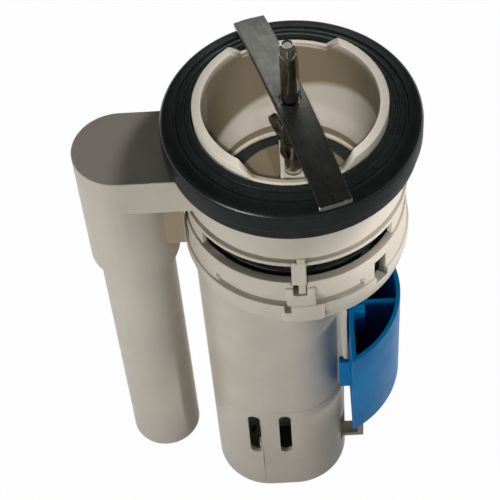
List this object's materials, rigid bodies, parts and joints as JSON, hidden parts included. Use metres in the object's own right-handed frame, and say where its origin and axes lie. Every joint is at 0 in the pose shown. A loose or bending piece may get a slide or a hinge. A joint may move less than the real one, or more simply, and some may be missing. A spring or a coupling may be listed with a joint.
{
  "type": "toilet flush valve",
  "caption": "Dual-flush cistern valve with spigot and doughnut gasket, side overflow tube, slotted canister, blue small-flush float and a clamping bar on a long stud.",
  "frame": {"origin": "on the outlet axis, in the plane of the cap's end face that the valve stands on in the picture", "axes": "+Z along the outlet axis out of the outlet spigot, +X from the overflow tube towards the small-flush float, +Y away from the camera; installed in a cistern the valve is turned over, with +Z down"},
  "size_m": [0.117, 0.0864, 0.2407],
  "materials": {
    "ivory_plastic": "satin moulded",
    "white_plastic": "satin moulded",
    "blue_plastic": "gloss moulded",
    "black_rubber": "satin rubber",
    "bright_steel": "bright zinc plate",
    "bar_steel": "rolled strip",
    "spring_steel": "drawn wire"
  },
  "bodies": {
    "valve_body": {"outlet_base": "ivory_plastic", "tank_gasket": "black_rubber", "overflow_tube": "ivory_plastic", "overflow_seal_ring": "black_rubber", "canister": "ivory_plastic", "canister_cap": "ivory_plastic", "coupling_stud": "bright_steel", "stem_guide": "white_plastic", "lever_pin": "bright_steel", "full_return_spring": "spring_steel", "half_return_spring": "spring_steel"},
    "bar": {"coupling_bar": "bar_steel"},
    "nut": {"wing_nut": "bright_steel"},
    "plunger_group": {"plunger": "white_plastic", "valve_seal": "black_rubber", "seal_retainer": "ivory_plastic", "retainer_screw": "bright_steel", "main_float": "white_plastic"},
    "float_group": {"small_flush_float": "blue_plastic", "float_arm": "white_plastic"},
    "full_pad": {"full_flush_pad": "white_plastic"},
    "half_pad": {"half_flush_pad": "blue_plastic"},
    "full_lever": {"full_lift_lever": "white_plastic"},
    "half_lever": {"half_lift_lever": "blue_plastic"}
  },
  "joints": [
    {"name": "bar_swivel", "type": "hinge", "parent": "valve_body", "child": "bar", "pos_m": [0, 0, 0.216], "axis": [0, 0, 1], "range_deg": [-28, 3.5]},
    {"name": "wing_nut_spin", "type": "hinge", "parent": "valve_body", "child": "nut", "pos_m": [0, 0, 0.2], "axis": [0, 0, 1], "continuous": true},
    {"name": "full_pad_press", "type": "slide", "parent": "valve_body", "child": "full_pad", "axis": [0, 0, 1], "range_m": [0, 0.005], "stiffness_N_per_m": 400, "springref_m": -0.005, "deforming": ["full_return_spring"]},
    {"name": "half_pad_press", "type": "slide", "parent": "valve_body", "child": "half_pad", "axis": [0, 0, 1], "range_m": [0, 0.005], "stiffness_N_per_m": 300, "springref_m": -0.003, "deforming": ["half_return_spring"]},
    {"name": "plunger_lift", "type": "slide", "parent": "valve_body", "child": "plunger_group", "axis": [0, 0, -1], "range_m": [0, 0.01]},
    {"name": "full_lever_turn", "type": "hinge", "parent": "valve_body", "child": "full_lever", "pos_m": [-0.016, 0, 0.03], "axis": [0, 1, 0], "range_deg": [0, 38.7]},
    {"name": "half_lever_turn", "type": "hinge", "parent": "valve_body", "child": "half_lever", "pos_m": [-0.016, 0.0122, 0.03], "axis": [0, 1, 0], "range_deg": [0, 38.7]},
    {"name": "small_float_slide", "type": "slide", "parent": "valve_body", "child": "float_group", "axis": [0, 0, 1], "range_m": [0, 0.012]}
  ],
  "couplings": [
    {"joint": "plunger_lift", "follows": "full_pad_press", "ratio": 2},
    {"joint": "full_lever_turn", "follows": "full_pad_press", "rad_per_m": 135},
    {"joint": "half_lever_turn", "follows": "half_pad_press", "rad_per_m": 135}
  ]
}
